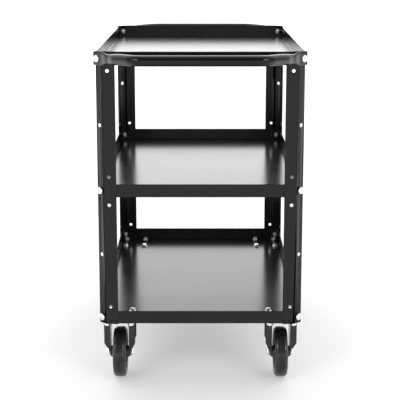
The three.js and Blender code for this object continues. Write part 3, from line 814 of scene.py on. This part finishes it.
def build_fasteners():
    """Twelve corner bolts, the top ones' heads held off by the handles, and sixteen caster bolts."""
    stand_off = {"bottom": 0.0, "middle": 0.0, "top": GAP + HANDLE["tab_thick"]}
    bolt = {under: corner_bolt_mesh(under) for under in sorted(set(stand_off.values()))}
    for end, side in CORNERS:
        outward = (SIDES[side], ENDS[end], 0)
        for level, z in zip(LEVELS, BOLT_Z):
            place = (SIDES[side] * CHAMFER_AT[0], ENDS[end] * CHAMFER_AT[1], z)
            node = f"corner_bolt_{end}_{side}_{level}"
            mesh = aimed(bolt[stand_off[level]], outward, place)
            piece(f"zinc_{node}", mesh, "frame", BRIGHT, [node], 0.12)
    caster_bolt = caster_bolt_mesh()
    for i, (end, side) in enumerate(CORNERS):
        for j, (x, y) in enumerate(CASTER_BOLTS[i * 4:i * 4 + 4]):
            node = f"caster_bolt_{end}_{side}_{j + 1}"
            piece(f"zinc_{node}", shifted(caster_bolt, x, y), "frame", BRIGHT, [node], 0.12)


def build_casters():
    """Fixed brackets in front, braked swivel casters behind, and a wheel on its axle in each."""
    meshes = {
        "fixed_bracket": fixed_bracket_mesh(), "swivel_plate": swivel_plate_mesh(),
        "swivel_fork": swivel_fork_mesh(), "kingpin": kingpin_mesh(), "brake_pedal": pedal_mesh(),
    }
    axle, tyre, hub = axle_mesh(), tyre_mesh(), hub_mesh()
    for end, side in CORNERS:
        centre = caster_centre(end, side)
        if end == "front":
            parts = [("fixed_bracket", "frame", PAINTED)]
        else:
            parts = [
                ("swivel_plate", "frame", PAINTED), ("swivel_fork", f"fork_rear_{side}", PAINTED),
                ("kingpin", "frame", BRIGHT), ("brake_pedal", f"brake_rear_{side}", PAINTED),
            ]
        for kind, body, finish in parts:
            mesh = shifted(meshes[kind], centre.x, centre.y)
            piece(f"painted_{kind}_{side}", mesh, body, finish, [f"{kind}_{side}"], 0.35)
        corner = f"{end}_{side}"
        low, high = box_mm(f"tyre_{corner}")
        wheel = (low + high) / 2
        fork = "frame" if end == "front" else f"fork_rear_{side}"
        rolling = f"wheel_{corner}"
        piece(f"zinc_axle_{corner}", shifted(axle, *wheel), fork, BRIGHT, [f"axle_{corner}"], 0.15)
        piece(f"moulded_hub_{corner}", shifted(hub, *wheel), rolling, CORE, [f"hub_{corner}"], 0.3)
        piece(f"moulded_tyre_{corner}", shifted(tyre, *wheel), rolling, TREAD_RUBBER, [f"tyre_{corner}"], 0)


# Stage, light and camera
# The studio's brightness along the cart, from the near side at 0 to the far side at 1, times WALL_STRENGTH.
WALL_NEAR = 0.1
WALL_LEVELS = [(0.3, 0.12), (0.5, 0.42), (0.75, 0.80), (0.93, 0.92)]
WALL_STRENGTH = 2.6
# The lamps on the near side: their edges in degrees above the horizon, and where they fade out.
# The boxes hang above the strip, high enough for the shelves not to mirror them from behind.
STRIP_EDGE, STRIP_LEVEL = (14, 9), 0.65
BOX_EDGE, BOX_FOOT, BOX_SIDE, BOX_LEVEL = (44, 38), (20, 27), (0.36, 0.46), 3.5
LAMPS_NEAR = (-0.3, -0.75)
# The floor, in metres. It glows evenly, and more beside the cart: the extra rises over SIDE_SPAN
# to the left and right of the middle, and over SIDE_NEAR going away from the camera.
FLOOR_REACH = 30.0
FLOOR_WHITE, FLOOR_ROUGHNESS, FLOOR_SPECULAR = 0.55, 0.6, 0.2
FLOOR_GLOW = 0.34
SIDE_GLOW, SIDE_SPAN, SIDE_NEAR = 1.4, (0.5, 1.2), (-1.4, -0.8)
CAMERA = {
    "sensor_width": 36.0, "lens": 99.72, "shift": (-0.001, -0.1), "eye": (0, -2.987, 1.0823), "down": 11.29,
}


def ramp(tree, value, start, end, low=0.0, high=1.0):
    """A smooth step from low to high as a value goes from start to end."""
    spread = tree.nodes.new("ShaderNodeMapRange")
    spread.interpolation_type = "SMOOTHSTEP"
    for name, number in (("From Min", start), ("From Max", end), ("To Min", low), ("To Max", high)):
        spread.inputs[name].default_value = number
    tree.links.new(value, spread.inputs["Value"])
    return spread.outputs["Result"]


def reckoned(tree, operation, first, second=None):
    """A step of arithmetic on one value, or on two of which the second can be a plain number."""
    step = tree.nodes.new("ShaderNodeMath")
    step.operation = operation
    tree.links.new(first, step.inputs[0])
    if isinstance(second, float):
        step.inputs[1].default_value = second
    elif second is not None:
        tree.links.new(second, step.inputs[1])
    return step.outputs["Value"]


def rising(tree, up, edge, level=1.0):
    """A smooth step between two angles above the horizon, in degrees."""
    return ramp(tree, up, *[math.sin(math.radians(angle)) for angle in edge], 0, level)


def parted(tree, kind):
    """The X, Y and Z of a texture coordinate."""
    where = tree.nodes.new("ShaderNodeTexCoord")
    split = tree.nodes.new("ShaderNodeSeparateXYZ")
    tree.links.new(where.outputs[kind], split.inputs["Vector"])
    return [split.outputs[name] for name in "XYZ"]


def build_stage():
    """A white floor that is lit from below like a light table, more strongly beside the cart."""
    floor = bpy.data.meshes.new("floor")
    signs = ((-1, -1), (1, -1), (1, 1), (-1, 1))
    floor.from_pydata([(x * FLOOR_REACH, y * FLOOR_REACH, 0) for x, y in signs], [], [(0, 1, 2, 3)])
    item = bpy.data.objects.new("floor", floor)
    bpy.context.scene.collection.objects.link(item)
    material, surface = shader("floor", (FLOOR_WHITE, FLOOR_WHITE, FLOOR_WHITE), FLOOR_ROUGHNESS)
    surface.inputs["Specular IOR Level"].default_value = FLOOR_SPECULAR
    surface.inputs["Emission Color"].default_value = (1, 1, 1, 1)
    tree = material.node_tree
    across, along, _ = parted(tree, "Object")
    beside = ramp(tree, reckoned(tree, "ABSOLUTE", across), *SIDE_SPAN, 0, SIDE_GLOW)
    beside = reckoned(tree, "MULTIPLY", beside, ramp(tree, along, *SIDE_NEAR))
    glow = reckoned(tree, "ADD", beside, FLOOR_GLOW)
    tree.links.new(glow, surface.inputs["Emission Strength"])
    floor.materials.append(material)


def build_light():
    """A white far wall, dimmer sides, and a near side that is dark above a low strip and two soft boxes."""
    world = bpy.data.worlds.new("studio")
    bpy.context.scene.world = world
    world.use_nodes = True
    tree = world.node_tree
    across, along, up = parted(tree, "Generated")

    walls = tree.nodes.new("ShaderNodeValToRGB")
    walls.color_ramp.elements[0].color = (WALL_NEAR, WALL_NEAR, WALL_NEAR, 1)
    for position, level in WALL_LEVELS:
        walls.color_ramp.elements.new(position).color = (level, level, level, 1)
    spread = tree.nodes.new("ShaderNodeMapRange")
    spread.inputs["From Min"].default_value = -1.0
    tree.links.new(along, spread.inputs["Value"])
    tree.links.new(spread.outputs["Result"], walls.inputs["Fac"])

    strip = rising(tree, up, STRIP_EDGE, STRIP_LEVEL)
    boxes = reckoned(tree, "MULTIPLY", rising(tree, up, BOX_EDGE, BOX_LEVEL), rising(tree, up, BOX_FOOT))
    boxes = reckoned(tree, "MULTIPLY", boxes, ramp(tree, reckoned(tree, "ABSOLUTE", across), *BOX_SIDE))
    lamps = reckoned(tree, "MAXIMUM", strip, boxes)
    lamps = reckoned(tree, "MULTIPLY", lamps, ramp(tree, along, *LAMPS_NEAR))
    background = tree.nodes["Background"]
    tree.links.new(reckoned(tree, "ADD", walls.outputs["Color"], lamps), background.inputs["Color"])
    background.inputs["Strength"].default_value = WALL_STRENGTH


def build_camera():
    camera = bpy.data.cameras.new("camera")
    camera.sensor_width = CAMERA["sensor_width"]
    camera.lens = CAMERA["lens"]
    camera.shift_x, camera.shift_y = CAMERA["shift"]
    item = bpy.data.objects.new("camera", camera)
    item.location = CAMERA["eye"]
    item.rotation_euler = (math.radians(90 - CAMERA["down"]), 0, 0)
    bpy.context.scene.collection.objects.link(item)
    bpy.context.scene.camera = item


build_camera()
build_stage()
build_light()
build_structure()
build_fasteners()
build_casters()
bpy.context.scene.view_settings.view_transform = "Standard"

bpy.context.view_layer.update()
